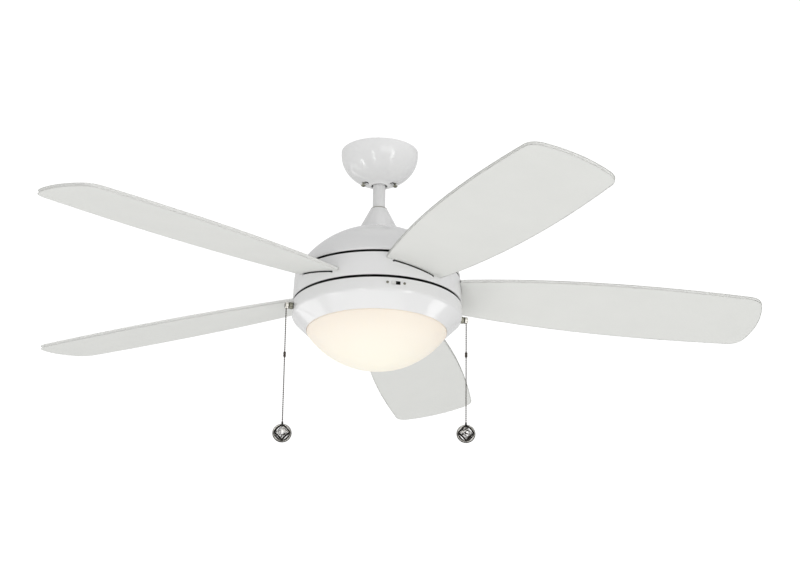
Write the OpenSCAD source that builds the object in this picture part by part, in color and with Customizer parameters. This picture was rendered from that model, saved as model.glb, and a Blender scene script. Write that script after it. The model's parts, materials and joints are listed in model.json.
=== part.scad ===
// Five-blade ceiling fan with a bowl light and two pull chains.
// Millimetres, +Z up. The origin is on the fan's axis, at the ceiling: everything hangs below it.

/* [Overall] */
// Depth of the blades' plane below the ceiling
rotor_depth = 255; // [250:1:300]
// Radius from the axis to a blade's tip
blade_tip = 660.4; // [600:1:700]

/* [Blades] */
// Direction of the first blade, turned from +X
blade_azimuth = 6.5; // [0:0.5:71.5]
// Tilt of each blade about its own length
blade_pitch = 11.2; // [8:0.1:14]
// Angle by which each blade points below level
blade_droop = 1.3; // [0:0.1:3]
// Thickness of a blade
blade_thick = 5; // [4:0.5:6]
// Radius of the arc that ends a blade
tip_bow = 183; // [150:1:260]
// Thickness of the steel plate that carries a blade
plate_thick = 3; // [2:0.5:4]

/* [Canopy and rod] */
// Radius of the canopy's rim at the ceiling
canopy_r = 66; // [62:1:75]
// Height of the canopy
canopy_h = 62; // [60:1:66]
// Outer radius of the downrod
rod_r = 10.65; // [10:0.05:11]
// Radius of the hanger ball
ball_r = 21; // [20:0.5:22]
// Depth of the hanger ball's centre below the ceiling
ball_depth = 30; // [29:1:31]

/* [Housing] */
// Radius of the dome's sphere
dome_sphere_r = 158.5; // [155:0.5:162]
// Radius of the dome's lower edge
dome_r = 139.5; // [137:0.5:140]
// Outer radius of the turning ring's lower edge
ring_r = 142.5; // [141:0.5:143]
// Outer radius of the light housing
pan_r = 143; // [142:0.5:145]
// Radius of the light housing's mouth
mouth_r = 118.2; // [116:0.1:120]
// Thickness of the housings' sheet metal
sheet = 1.5; // [1.2:0.1:2]

/* [Light] */
// Outer radius of the glass bowl's sphere
bowl_sphere_r = 143.8; // [142:0.1:146]
// Thickness of the glass
glass_thick = 3; // [2.5:0.1:4]
// Radius of a lamp's globe
bulb_r = 20; // [15:1:22]

/* [Chains] */
// Distance of each chain from the axis along X
chain_x = 152; // [151:0.5:153]
// Distance of each chain from the axis along Y
chain_y = 27.5; // [26:0.5:29]
// Diameter of the bead chain
chain_d = 2.4; // [2:0.1:3]
// Radius of a fob
fob_r = 15.8; // [12:0.1:17]

/* [Hidden] */
$fn = 72;

paint = "white";
steel = "silver";
dark_steel = "dimgray";
copper = "peru";
blade_white = "whitesmoke";

rotor_z = -rotor_depth;
ball_z = -ball_depth;
seat_gap = 0.1;
seat_thick = 1.9;

// Levels of the housings, from the top down
cone_top_z = rotor_z + 150;
cone_bottom_z = rotor_z + 107;
cone_top_r = 14.5;
cone_bottom_r = 35.5;
dome_centre_z = rotor_z - 49.4;
dome_hole_r = 16.5;
dome_edge_z = rotor_z + 21.7;
ring_top_z = rotor_z + 17.4;
ring_bottom_z = rotor_z - 23;
ring_top_r = ring_r - 2;
pan_top_z = rotor_z - 27.6;
pan_bend_z = rotor_z - 49;
pan_mouth_z = pan_bend_z - (pan_r - mouth_r);
chain_level_z = rotor_z - 39;

// Motor
shaft_r = 7.5;
shaft_bore_r = 5;
motor_r = 92;
gap_r = 75.5;
core_top_z = rotor_z + 45;
core_bottom_z = rotor_z + 17;
bearing_outer_r = 17.5;
bearing_half = 5;
ball_ring_r = 12.5;
bearing_ball_r = 2.15;
bearing_levels = [rotor_z + 55.5, rotor_z - 2];
trough_r = 96;
web_top_z = rotor_z - 16.5;

// Blades
root_r = ring_r + 0.7;
corner_start = blade_tip - 32;
corner_end_v = 54;
plate_holes = [[175, 22], [175, -22], [218, 0]];
pad_holes = [[118, 20], [118, -20]];
slot_half = 36.7;
slot_below = 2.6;

// Light housing
neck_r = mouth_r - 1;
shelf_z = pan_mouth_z + 8.3;
collar_z = shelf_z + 0.1;
bowl_centre_z = rotor_z + 8.2;
socket_z = pan_mouth_z - 1.2;
lamp_plate_z = pan_bend_z - 0.8;
switch_azimuth = -78.8;
switch_z = rotor_z - 36.6;
knob_rest_y = -3.6;

// Chains
chain_azimuth = atan2(chain_y, chain_x);
chain_r = norm([chain_x, chain_y]);
cap_r = 5.9;
stub_top_z = chain_level_z + 4.2;
exit_z = chain_level_z - cap_r;
fan_fob_z = -516;
light_fob_z = -494;
fan_upper_route = [
    [-152, -27.5, -301.2], [-152, -27.5, -305], [-152, -27.5, -310], [-152, -27.5, -315],
    [-152, -27.5, -320], [-152, -27.5, -325], [-152, -27.5, -330], [-152, -27.5, -335],
    [-152, -27.5, -340], [-152, -27.5, -345], [-152, -27.5, -350], [-152, -27.5, -355],
    [-152, -27.5, -360], [-152, -27.5, -365], [-152, -27.5, -370], [-152, -27.5, -376]
];
fan_lower_route = [
    [-152, -27.5, -385], [-152, -27.5, -392], [-152, -27.5, -400], [-152, -27.5, -408],
    [-152, -27.5, -416], [-152, -27.5, -424], [-152, -27.5, -432], [-152, -27.5, -440],
    [-152, -27.5, -448], [-152, -27.5, -456], [-152, -27.5, -464], [-152, -27.5, -472],
    [-152, -27.5, -480], [-152, -27.5, -488], [-152, -27.5, -497]
];
light_upper_route = [
    [152, 27.5, -301.2], [152, 27.5, -303.5], [152, 27.5, -306], [152, 27.5, -310],
    [152, 27.5, -314], [152, 27.5, -318], [152, 27.5, -322], [152, 27.5, -326],
    [152, 27.5, -330], [152, 27.5, -334], [152, 27.5, -338], [152, 27.5, -342],
    [152, 27.5, -345], [152, 27.5, -348], [152, 27.5, -351]
];
light_lower_route = [
    [152, 27.5, -360], [152, 27.5, -368], [152, 27.5, -376], [152, 27.5, -384],
    [152, 27.5, -392], [152, 27.5, -400], [152, 27.5, -408], [152, 27.5, -416],
    [152, 27.5, -424], [152, 27.5, -432], [152, 27.5, -440], [152, 27.5, -448],
    [152, 27.5, -456], [152, 27.5, -465], [152, 27.5, -475]
];

// ---- helpers ----

// A ring between two levels
module ring(outer, inner, top, bottom) {
    translate([0, 0, bottom])
        difference() {
            cylinder(r = outer, h = top - bottom);
            translate([0, 0, -1]) cylinder(r = inner, h = top - bottom + 2);
        }
}

// A rod along +X between two distances from the axis
module rod_x(r, from, to) {
    translate([from, 0, 0]) rotate([0, 90, 0]) cylinder(r = r, h = to - from);
}

// The place of blade number k: X along the blade, Y across it, Z = 0 on its lower face
module blade_place(k) {
    rotate([0, 0, blade_azimuth + 72 * k])
        translate([0, 0, rotor_z])
            rotate([0, blade_droop, 0])
                rotate([-blade_pitch, 0, 0])
                    children();
}

// The places of the two pull chains' fittings: X points outwards from the axis
module fan_chain_side() {
    rotate([0, 0, 180 + chain_azimuth]) children();
}

module light_chain_side() {
    rotate([0, 0, chain_azimuth]) children();
}

// The place of the reverse switch: X outwards, Y along its slot
module switch_place() {
    rotate([0, 0, switch_azimuth]) translate([0, 0, switch_z]) children();
}

// A round tube of eight sides along a route that runs downwards
function tube_points(route, r) = [
    for (p = route) for (i = [0:7]) p + r * [cos(45 * i), sin(45 * i), 0]
];
function tube_faces(n) = concat(
    [[for (i = [0:7]) i]],
    [for (j = [0:n - 2]) for (i = [0:7])
        [8 * j + i, 8 * (j + 1) + i, 8 * (j + 1) + (i + 1) % 8, 8 * j + (i + 1) % 8]],
    [[for (i = [7:-1:0]) 8 * (n - 1) + i]]
);

module chain_tube(route) {
    polyhedron(tube_points(route, chain_d / 2), tube_faces(len(route)), convexity = 2);
}

// ---- ceiling side ----

module hanger_bracket() {
    color(steel)
        difference() {
            union() {
                translate([-57, -22, -2.5]) cube([114, 44, 2.5]);
                for (side = [-1, 1])
                    translate([side * 27.5 - 1.25, -15, -51.5]) cube([2.5, 30, 50]);
                for (side = [-1, 1])
                    translate([side * 27 - 6.5, -6, -51.5]) cube([13, 12, 2]);
                intersection() {
                    translate([0, 0, ball_z]) sphere(r = ball_r + seat_thick + 2.8);
                    translate([0, 0, ball_z - 18]) cylinder(r = 40, h = 12);
                }
                translate([0, 0, ball_z - 8.5]) cylinder(r = 28, h = 2.5);
            }
            translate([0, 0, ball_z]) sphere(r = ball_r + seat_thick + 2 * seat_gap);
            translate([0, 0, -60]) cylinder(r = 14.5, h = 50);
            translate([-12, 0, -60]) cube([24, 40, 54]);
            translate([0, 0, -3]) cylinder(r = 12, h = 4);
            for (side = [-1, 1])
                translate([side * 44.45, 0, -3])
                    linear_extrude(4)
                        union() {
                            square([6.8, 5.2], center = true);
                            translate([3.4, 0]) circle(r = 2.6);
                            translate([-3.4, 0]) circle(r = 2.6);
                        }
            for (side = [-1, 1])
                translate([side * 27.4, 0, -60]) cylinder(r = 1.95, h = 20);
        }
}

// Half profile of the canopy's wall: a short straight rim over a quarter ellipse
function canopy_wall(r, h, last) = [
    for (t = [0:6:last]) [r * cos(t), -5 - h * sin(t)]
];

module canopy() {
    outer = canopy_wall(canopy_r, canopy_h - 5, 72);
    inner = canopy_wall(canopy_r - sheet, canopy_h - 5 - sheet, 72);
    floor_z = -canopy_h;
    color(paint)
        difference() {
            rotate_extrude()
                polygon(concat(
                    [[canopy_r, 0]], outer,
                    [[16.6, floor_z], [16.6, floor_z - 1.2], [13.4, floor_z - 1.2],
                     [13.4, floor_z + sheet], [18, floor_z + sheet]],
                    [for (i = [len(inner) - 1:-1:0]) inner[i]],
                    [[canopy_r - sheet, 0]]
                ));
            for (side = [-1, 1])
                translate([side * 27.4, 0, -70]) cylinder(r = 2.3, h = 20);
            for (side = [-1, 1])
                translate([side * 21.4, -5.4, -70]) cylinder(r = 3.4, h = 20);
            for (side = [-1, 1])
                translate([side * 24.4, -2.7, -60])
                    rotate([0, 0, side * 42]) cube([8, 4, 20], center = true);
        }
}

module canopy_screws() {
    color(steel)
        for (side = [-1, 1])
            translate([side * 27.4, 0, 0]) {
                translate([0, 0, -61.8]) cylinder(r = 1.85, h = 15);
                translate([0, 0, -63.6]) cylinder(r1 = 3.2, r2 = 4.2, h = 2.2);
            }
}

module hanger_seat() {
    color("ivory")
        difference() {
            intersection() {
                translate([0, 0, ball_z]) sphere(r = ball_r + seat_gap + seat_thick);
                translate([0, 0, ball_z - 17]) cylinder(r = 40, h = 10.6);
            }
            translate([0, 0, ball_z]) sphere(r = ball_r + seat_gap);
            translate([-12, 0, -60]) cube([24, 40, 60]);
        }
}

// ---- what hangs and does not turn ----

module hanger_ball() {
    color(dark_steel)
        difference() {
            intersection() {
                translate([0, 0, ball_z]) sphere(r = ball_r);
                translate([0, 0, ball_z - 16]) cylinder(r = 40, h = 28);
            }
            translate([0, 0, ball_z - 30]) cylinder(r = rod_r + 0.05, h = 60);
            translate([0, 0, ball_z]) rod_x(2.65, -30, 30);
            translate([0, -30, ball_z + 5]) rotate([-90, 0, 0]) cylinder(r = 2.05, h = 25);
        }
}

module downrod() {
    color(paint)
        difference() {
            ring(rod_r, 7.9, ball_z + 15, rotor_z + 118);
            translate([0, 0, ball_z]) rod_x(2.65, -15, 15);
            translate([0, 0, rotor_z + 128]) rod_x(2.55, -15, 15);
        }
}

module hanger_pin() {
    color(steel)
        translate([0, 0, ball_z]) rod_x(2.6, -19.5, 19.5);
}

// One screw holds the ball on the rod, two hold the yoke
module set_screws() {
    color(steel) {
        translate([0, -rod_r, ball_z + 5]) rotate([90, 0, 0]) cylinder(r = 2, h = 7.5);
        for (side = [-1, 1])
            translate([0, side * rod_r, rotor_z + 122])
                rotate([-90 * side, 0, 0]) cylinder(r = 2, h = 6.5);
    }
}

module motor_yoke() {
    color(dark_steel)
        difference() {
            union() {
                translate([0, 0, rotor_z + 103]) cylinder(r = 16, h = 32);
                translate([0, 0, rotor_z + 100.5]) cylinder(r = 30, h = 2.5);
            }
            translate([0, 0, rotor_z + 118]) cylinder(r = rod_r + 0.05, h = 30);
            translate([0, 0, rotor_z + 110]) cylinder(r = 6, h = 12);
            translate([0, 0, rotor_z + 90]) cylinder(r = shaft_r + 0.05, h = 25);
            translate([0, 0, rotor_z + 128]) rod_x(2.55, -20, 20);
            for (side = [-1, 1])
                translate([0, side * 5, rotor_z + 122])
                    rotate([-90 * side, 0, 0]) cylinder(r = 2.05, h = 15);
            for (i = [0:2])
                rotate([0, 0, 60 + 120 * i])
                    translate([23, 0, rotor_z + 95]) cylinder(r = 1.85, h = 12);
        }
}

// A clevis pin with its retaining clip
module yoke_pin() {
    color(steel)
        translate([0, 0, rotor_z + 128]) {
            rod_x(2.5, -17.6, 18.2);
            rod_x(3.6, -18.4, -16.4);
            translate([17.2, 0, 0]) rotate([0, 90, 0]) ring(3.6, 2.55, 0.5, -0.5);
        }
}

module coupling_cover() {
    wall = sheet / cos(26);
    color(paint)
        rotate_extrude()
            polygon([
                [cone_top_r - 3.4, cone_top_z], [cone_top_r - 1, cone_top_z],
                [cone_top_r, cone_top_z - 1.2], [cone_bottom_r, cone_bottom_z],
                [cone_bottom_r - wall, cone_bottom_z], [cone_top_r - wall, cone_top_z - 2.4],
                [cone_top_r - 3.4, cone_top_z - 1.4]
            ]);
}

module motor_shaft() {
    color(steel) ring(shaft_r, shaft_bore_r, rotor_z + 114.5, rotor_z - 34);
}

module stator_core() {
    color(dark_steel)
        difference() {
            ring(gap_r - 0.5, shaft_r + 0.05, core_top_z - 2, core_bottom_z + 2);
            for (i = [0:11])
                rotate([0, 0, 30 * i + 15])
                    translate([42, -1.5, core_bottom_z - 1]) cube([40, 3, 40]);
        }
}

module stator_windings() {
    color(copper)
        for (z = [core_top_z - 2, core_bottom_z - 5])
            for (i = [0:11])
                rotate([0, 0, 30 * i]) translate([56, 0, z]) cylinder(r = 11.5, h = 7);
}

module bearing_inner_races() {
    color(steel)
        for (z = bearing_levels)
            ring(10.2, shaft_r + 0.02, z + bearing_half, z - bearing_half);
}

module upper_housing() {
    color(paint)
        difference() {
            rotate_extrude()
                union() {
                    intersection() {
                        difference() {
                            translate([0, dome_centre_z]) circle(r = dome_sphere_r, $fn = 180);
                            translate([0, dome_centre_z]) circle(r = dome_sphere_r - sheet, $fn = 180);
                        }
                        translate([dome_hole_r, dome_edge_z + 3])
                            square([dome_r - dome_hole_r, 120]);
                    }
                    translate([dome_r - sheet, dome_edge_z]) square([sheet, 4.6]);
                }
            for (i = [0:2])
                rotate([0, 0, 60 + 120 * i])
                    translate([23, 0, rotor_z + 90]) cylinder(r = 2.1, h = 30);
        }
}

module housing_screws() {
    color(steel)
        for (i = [0:2])
            rotate([0, 0, 60 + 120 * i])
                translate([23, 0, 0]) {
                    translate([0, 0, rotor_z + 100]) cylinder(r = 1.8, h = 8.4);
                    translate([0, 0, rotor_z + 108.2]) cylinder(r = 3.4, h = 1.6);
                }
}

module switch_plate() {
    color(steel)
        difference() {
            union() {
                translate([0, 0, pan_top_z]) cylinder(r = 75, h = 2.4);
                translate([0, 0, pan_top_z - 7]) cylinder(r = 14, h = 8);
            }
            translate([0, 0, pan_top_z - 10]) cylinder(r = shaft_r + 0.05, h = 20);
            for (i = [0:2])
                rotate([0, 0, 30 + 120 * i])
                    translate([64, 0, pan_top_z - 5]) cylinder(r = 1.95, h = 12);
        }
}

module light_pan() {
    inner_r = pan_r - sheet;
    color(paint)
        difference() {
            rotate_extrude()
                polygon([
                    [52, pan_top_z], [pan_r - 1, pan_top_z], [pan_r, pan_top_z - 1],
                    [pan_r, pan_bend_z], [mouth_r, pan_mouth_z], [mouth_r - 0.6, pan_mouth_z + 1.7],
                    [mouth_r + 4.5, shelf_z - 1.5], [mouth_r - 0.4, shelf_z - 1.5],
                    [mouth_r - 0.4, shelf_z], [mouth_r + 6, shelf_z],
                    [inner_r, pan_bend_z + 0.8], [inner_r, pan_top_z - sheet],
                    [52, pan_top_z - sheet]
                ]);
            fan_chain_side() translate([0, 0, chain_level_z]) rod_x(5, 130, 150);
            light_chain_side() translate([0, 0, chain_level_z]) rod_x(5, 130, 150);
            switch_place() translate([135, -7.4, -3]) cube([12, 14.8, 6]);
            for (side = [-1, 1])
                switch_place() translate([0, side * 14.2, 0]) rod_x(1.5, 135, 147);
            for (i = [0:2])
                rotate([0, 0, 30 + 120 * i])
                    translate([64, 0, pan_top_z - 5]) cylinder(r = 2.1, h = 12);
            for (i = [0:2])
                rotate([0, 0, 115 + 120 * i])
                    translate([mouth_r - 2, -7, shelf_z - 1.6]) cube([6.8, 14, 1.8]);
        }
}

module pan_screws() {
    color(steel)
        for (i = [0:2])
            rotate([0, 0, 30 + 120 * i])
                translate([64, 0, 0]) {
                    translate([0, 0, pan_top_z - sheet]) cylinder(r = 1.9, h = 4.4);
                    translate([0, 0, pan_top_z - sheet - 2.4]) cylinder(r = 3.8, h = 2.4);
                }
}

module reverse_switch() {
    color("black")
        switch_place()
            difference() {
                union() {
                    translate([128, -11, -6]) cube([11.2, 22, 12]);
                    translate([139.2, -17.5, -4.5]) cube([0.9, 35, 9]);
                }
                translate([134, -7.6, -2.8]) cube([10, 15.2, 5.6]);
                for (side = [-1, 1])
                    translate([0, side * 14.2, 0]) rod_x(1.5, 135, 147);
            }
}

module reverse_switch_screws() {
    color(steel)
        switch_place()
            for (side = [-1, 1])
                translate([0, side * 14.2, 0]) {
                    rod_x(1.45, 138.6, 142.8);
                    rod_x(2.3, 142.6, 143.8);
                }
}

module pull_switch() {
    translate([0, 0, chain_level_z]) {
        rod_x(9.6, 112, 130);
        rod_x(5.2, 130, 134.6);
    }
}

module pull_switches() {
    color("black") {
        fan_chain_side() pull_switch();
        light_chain_side() pull_switch();
    }
}

module capacitor() {
    color("black")
        rotate([0, 0, 90]) translate([80, -20, pan_top_z - 20]) cube([36, 40, 17]);
}

// A threaded neck, a collar and a round cap, bored level and then straight down for the chain
module chain_nipple() {
    translate([0, 0, chain_level_z])
        difference() {
            union() {
                rod_x(4.8, 134.8, 157);
                rod_x(cap_r, pan_r + 0.1, 149.9);
                rod_x(cap_r, 150.4, 157.8);
            }
            rod_x(1.7, 134, chain_r);
            translate([chain_r, 0, -cap_r - 1]) cylinder(r = 1.7, h = cap_r + 5.6);
        }
}

module chain_nipples() {
    color(steel) {
        fan_chain_side() chain_nipple();
        light_chain_side() chain_nipple();
    }
}

module lamp_plate() {
    color(paint)
        difference() {
            union() {
                translate([0, 0, lamp_plate_z - 1.2]) cylinder(r = 106, h = 1.2);
                for (i = [0:2])
                    rotate([0, 0, 30 + 120 * i])
                        translate([90, 0, lamp_plate_z - 0.5])
                            cylinder(r = 3, h = pan_top_z - sheet - lamp_plate_z + 0.5);
                for (side = [-1, 1])
                    translate([side * 24 - 4, -8, lamp_plate_z - 10.1]) cube([8, 16, 10]);
            }
            translate([0, 0, lamp_plate_z - 15]) cylinder(r = 8, h = 20);
        }
}

module lamp_sockets() {
    color("ivory")
        translate([0, 0, socket_z])
            for (side = [0, 180])
                rotate([0, 0, side])
                    difference() {
                        rod_x(15, 9, 40);
                        rod_x(12.9, 16, 41);
                    }
}

module lamp_bulbs() {
    color("floralwhite")
        translate([0, 0, socket_z])
            for (side = [0, 180])
                rotate([0, 0, side])
                    union() {
                        rod_x(12.8, 16.2, 44);
                        translate([43.9, 0, 0])
                            rotate([0, 90, 0]) cylinder(r1 = 12.8, r2 = 16.4, h = 12.6);
                        translate([68, 0, 0]) sphere(r = bulb_r);
                    }
}

// Two leads that run from the canopy down the rod and the shaft
module supply_wires() {
    color("black")
        for (side = [-1, 1])
            translate([0, side * 3.9, pan_top_z - 14]) cylinder(r = 0.9, h = -10 - pan_top_z + 14);
}

// ---- what turns ----

module rotor_upper_cover() {
    top = core_top_z + 13;
    hub = bearing_outer_r + 0.05;
    color("gainsboro")
        rotate_extrude()
            polygon([
                [hub, top + 3], [hub, top - 8], [hub + 4, top - 8], [hub + 4, top - 3],
                [motor_r - 4, top - 3], [motor_r - 4, core_top_z], [motor_r, core_top_z],
                [motor_r, top - 1.5], [motor_r - 1.5, top], [hub + 4, top], [hub + 4, top + 3]
            ]);
}

module rotor_core() {
    color(dark_steel) ring(motor_r, gap_r, core_top_z, core_bottom_z);
}

module rotor_lower_cover() {
    bottom = core_bottom_z - 14;
    hub = bearing_outer_r + 0.05;
    color("gainsboro")
        rotate_extrude()
            polygon([
                [hub, bottom + 3], [hub, bottom - 11], [hub + 4, bottom - 11], [hub + 4, bottom],
                [motor_r, bottom], [motor_r, core_bottom_z], [motor_r - 4, core_bottom_z],
                [motor_r - 4, bottom + 3]
            ]);
}

module bearing_outer_races() {
    color(steel)
        for (z = bearing_levels)
            ring(bearing_outer_r, 14.8, z + bearing_half, z - bearing_half);
}

module bearing_balls() {
    color(steel)
        for (z = bearing_levels)
            for (i = [0:8])
                rotate([0, 0, 40 * i])
                    translate([ball_ring_r, 0, z]) sphere(r = bearing_ball_r, $fn = 24);
}

// The turning band with its slots, the web that joins it to the rotor and the blades' pads
module blade_ring() {
    lower_cover_z = core_bottom_z - 14;
    color(paint)
        difference() {
            union() {
                rotate_extrude()
                    polygon([
                        [ring_top_r - 2.3, ring_top_z], [ring_top_r, ring_top_z],
                        [ring_r, ring_bottom_z], [ring_r - 2.3, ring_bottom_z],
                        [ring_r - 2.4, web_top_z - 3], [trough_r - 3, web_top_z - 3],
                        [trough_r - 3, lower_cover_z - 3], [60, lower_cover_z - 3],
                        [60, lower_cover_z], [trough_r, lower_cover_z],
                        [trough_r, web_top_z], [ring_r - 2.6, web_top_z]
                    ]);
                for (k = [0:4])
                    intersection() {
                        blade_place(k)
                            translate([104, -28, -40]) cube([28, 56, 40 + blade_thick]);
                        translate([0, 0, web_top_z - 0.5]) cylinder(r = 137, h = 60);
                    }
            }
            for (k = [0:4])
                blade_place(k)
                    translate([125, -slot_half, -slot_below])
                        intersection() {
                            cube([25, 2 * slot_half, blade_thick + plate_thick + slot_below + 0.8]);
                            translate([9, 0, 0]) cube([25, 2 * slot_half, 20]);
                        }
            for (k = [0:4])
                blade_place(k)
                    for (p = pad_holes)
                        translate([p[0], p[1], -8]) cylinder(r = 2.5, h = 20);
        }
}

module blade_plate(k) {
    color(steel)
        blade_place(k)
            translate([0, 0, blade_thick])
                difference() {
                    linear_extrude(plate_thick)
                        union() {
                            translate([103, -34]) square([52, 68]);
                            polygon([[154, -34], [160, -34], [222, -17], [222, 17], [160, 34], [154, 34]]);
                            translate([218, 0]) circle(r = 17.4);
                        }
                    for (p = concat(plate_holes, pad_holes))
                        translate([p[0], p[1], -1]) cylinder(r = 2.5, h = plate_thick + 2);
                }
}

// Half the width of a blade at a distance from the axis: narrow at the root, widest at 3/4 length
function half_width(u) = let (s = (u - 400) / 250) 77.3 + 8.1 * s - 16 * s * s + 2.25 * s * s * s;
function tip_at(v) = blade_tip - v * v / (2 * tip_bow);
function bezier(a, b, c, t) = (1 - t) * (1 - t) * a + 2 * t * (1 - t) * b + t * t * c;
function blade_side() =
    let (
        start = [corner_start, half_width(corner_start)],
        edge = half_width(blade_tip - 14),
        corner = [tip_at(edge), edge],
        finish = [tip_at(corner_end_v), corner_end_v]
    )
    concat(
        [for (v = [0:7:42]) [sqrt(root_r * root_r - v * v), v]],
        [for (u = [134.6:15:corner_start - 8]) [u, half_width(u)]],
        [for (t = [0:0.125:1]) bezier(start, corner, finish, t)],
        [for (v = [48:-8:8]) [tip_at(v), v]]
    );
function blade_outline() =
    let (side = blade_side(), n = len(side))
    concat(
        side, [[blade_tip, 0]],
        [for (i = [n - 1:-1:1]) [side[i][0], -side[i][1]]]
    );

module blade(k) {
    color(blade_white)
        blade_place(k)
            difference() {
                linear_extrude(blade_thick) polygon(blade_outline());
                for (p = plate_holes)
                    translate([p[0], p[1], 1.2]) cylinder(r = 2.1, h = blade_thick);
            }
}

module blade_screws() {
    top = blade_thick + plate_thick;
    color(steel)
        for (k = [0:4])
            blade_place(k)
                for (p = plate_holes)
                    translate([p[0], p[1], 0]) {
                        translate([0, 0, 1.4]) cylinder(r = 2, h = top - 1.2);
                        translate([0, 0, top]) cylinder(r1 = 4.4, r2 = 3.4, h = 2.4);
                    }
}

module plate_screws() {
    top = blade_thick + plate_thick;
    color(steel)
        for (k = [0:4])
            blade_place(k)
                for (p = pad_holes)
                    translate([p[0], p[1], 0]) {
                        translate([0, 0, -6]) cylinder(r = 2.4, h = top + 6.2);
                        translate([0, 0, top]) cylinder(r1 = 4.8, r2 = 3.8, h = 2.6);
                    }
}

// ---- what a hand moves ----

module reverse_knob() {
    color(paint)
        switch_place()
            translate([134.4, knob_rest_y - 3.3, -2.4]) cube([9.3, 6.6, 4.8]);
}

module glass_bowl() {
    neck_z = bowl_centre_z - sqrt(bowl_sphere_r * bowl_sphere_r - neck_r * neck_r);
    color("cornsilk")
        rotate_extrude()
            union() {
                intersection() {
                    difference() {
                        translate([0, bowl_centre_z]) circle(r = bowl_sphere_r, $fn = 180);
                        translate([0, bowl_centre_z])
                            circle(r = bowl_sphere_r - glass_thick, $fn = 180);
                    }
                    translate([0, -420]) square([130, neck_z + 420]);
                }
                translate([neck_r - glass_thick, neck_z - 0.6])
                    square([glass_thick, collar_z - neck_z + 0.6]);
            }
}

module bowl_collar() {
    color(steel)
        union() {
            ring(neck_r, neck_r - 5, collar_z + 2, collar_z);
            for (i = [0:2])
                rotate([0, 0, 90 + 120 * i])
                    translate([neck_r - 2, -5, collar_z + 0.2]) cube([7, 10, 1.8]);
        }
}

// A short rod that slides in the nipple and ends in the bead that the chain swings from
module chain_stub() {
    bead_r = 1.15;
    translate([chain_r, 0, exit_z])
        union() {
            cylinder(r = 0.9, h = stub_top_z - exit_z);
            sphere(r = bead_r);
        }
}

module fan_chain_stub() {
    color(steel) fan_chain_side() chain_stub();
}

module light_chain_stub() {
    color(steel) light_chain_side() chain_stub();
}

// A barrel that joins the last bead of one chain to the first of the next
module chain_connector(place, top, bottom) {
    translate([place[0], place[1], bottom]) cylinder(r = 2.3, h = top - bottom);
}

module fob(place, z) {
    translate([place[0], place[1], z])
        union() {
            sphere(r = fob_r);
            translate([0, 0, fob_r - 1]) cylinder(r = 2.8, h = 20 - fob_r);
        }
}

module fan_chain_upper() {
    color("gray") chain_tube(fan_upper_route);
}

module fan_chain_connector() {
    color(steel) chain_connector(fan_upper_route[0], -376, -385);
}

module fan_chain_lower() {
    color("gray") chain_tube(fan_lower_route);
}

module fan_fob() {
    color(steel) fob(fan_lower_route[0], fan_fob_z);
}

module light_chain_upper() {
    color("gray") chain_tube(light_upper_route);
}

module light_chain_connector() {
    color(steel) chain_connector(light_upper_route[0], -351, -360);
}

module light_chain_lower() {
    color("gray") chain_tube(light_lower_route);
}

module light_fob() {
    color(steel) fob(light_lower_route[0], light_fob_z);
}

hanger_bracket();
canopy();
canopy_screws();
hanger_seat();
hanger_ball();
downrod();
hanger_pin();
set_screws();
motor_yoke();
yoke_pin();
coupling_cover();
motor_shaft();
stator_core();
stator_windings();
bearing_inner_races();
upper_housing();
housing_screws();
switch_plate();
light_pan();
pan_screws();
reverse_switch();
reverse_switch_screws();
pull_switches();
capacitor();
chain_nipples();
lamp_plate();
lamp_sockets();
lamp_bulbs();
supply_wires();
rotor_upper_cover();
rotor_core();
rotor_lower_cover();
bearing_outer_races();
bearing_balls();
blade_ring();
for (k = [0:4]) blade_plate(k);
for (k = [0:4]) blade(k);
blade_screws();
plate_screws();
reverse_knob();
glass_bowl();
bowl_collar();
fan_chain_stub();
fan_chain_upper();
fan_chain_connector();
fan_chain_lower();
fan_fob();
light_chain_stub();
light_chain_upper();
light_chain_connector();
light_chain_lower();
light_fob();
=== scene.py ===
"""Looks of a five-blade ceiling fan with a bowl light and two pull chains.

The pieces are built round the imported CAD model. Measures are in millimetres unless a name or comment says
otherwise: every mesh helper multiplies by MM."""

import json
import math

import bmesh
import bpy
from mathutils import Matrix, Vector

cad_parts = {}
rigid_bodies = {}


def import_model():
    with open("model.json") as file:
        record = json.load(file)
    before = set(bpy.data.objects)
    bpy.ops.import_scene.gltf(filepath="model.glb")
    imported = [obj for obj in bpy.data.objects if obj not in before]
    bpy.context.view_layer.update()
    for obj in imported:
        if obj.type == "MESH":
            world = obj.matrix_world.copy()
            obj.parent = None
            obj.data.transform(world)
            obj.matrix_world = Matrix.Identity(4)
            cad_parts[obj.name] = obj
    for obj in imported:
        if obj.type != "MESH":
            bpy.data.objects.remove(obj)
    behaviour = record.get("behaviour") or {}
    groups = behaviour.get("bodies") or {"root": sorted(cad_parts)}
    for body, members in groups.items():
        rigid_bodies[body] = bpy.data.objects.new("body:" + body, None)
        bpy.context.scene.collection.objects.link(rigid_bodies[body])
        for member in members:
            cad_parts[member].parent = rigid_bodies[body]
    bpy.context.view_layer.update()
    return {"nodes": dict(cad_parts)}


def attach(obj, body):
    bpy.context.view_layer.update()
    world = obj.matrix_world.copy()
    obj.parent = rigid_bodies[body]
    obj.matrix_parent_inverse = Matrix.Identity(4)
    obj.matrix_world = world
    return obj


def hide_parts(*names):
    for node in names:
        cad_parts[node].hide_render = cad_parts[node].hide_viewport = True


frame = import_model()

MM = 0.001
SCENE = bpy.context.scene
SHARP_ANGLE = 38.0  # degrees between two faces, from which their edge isn't smoothed
CUT_EDGE_ANGLE = 50.0  # degrees, from which the edge of a cut is rounded
NO_STRETCH = (1, 1, 1)


# ---------------------------------------------------------------- measures shared with the CAD

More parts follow.
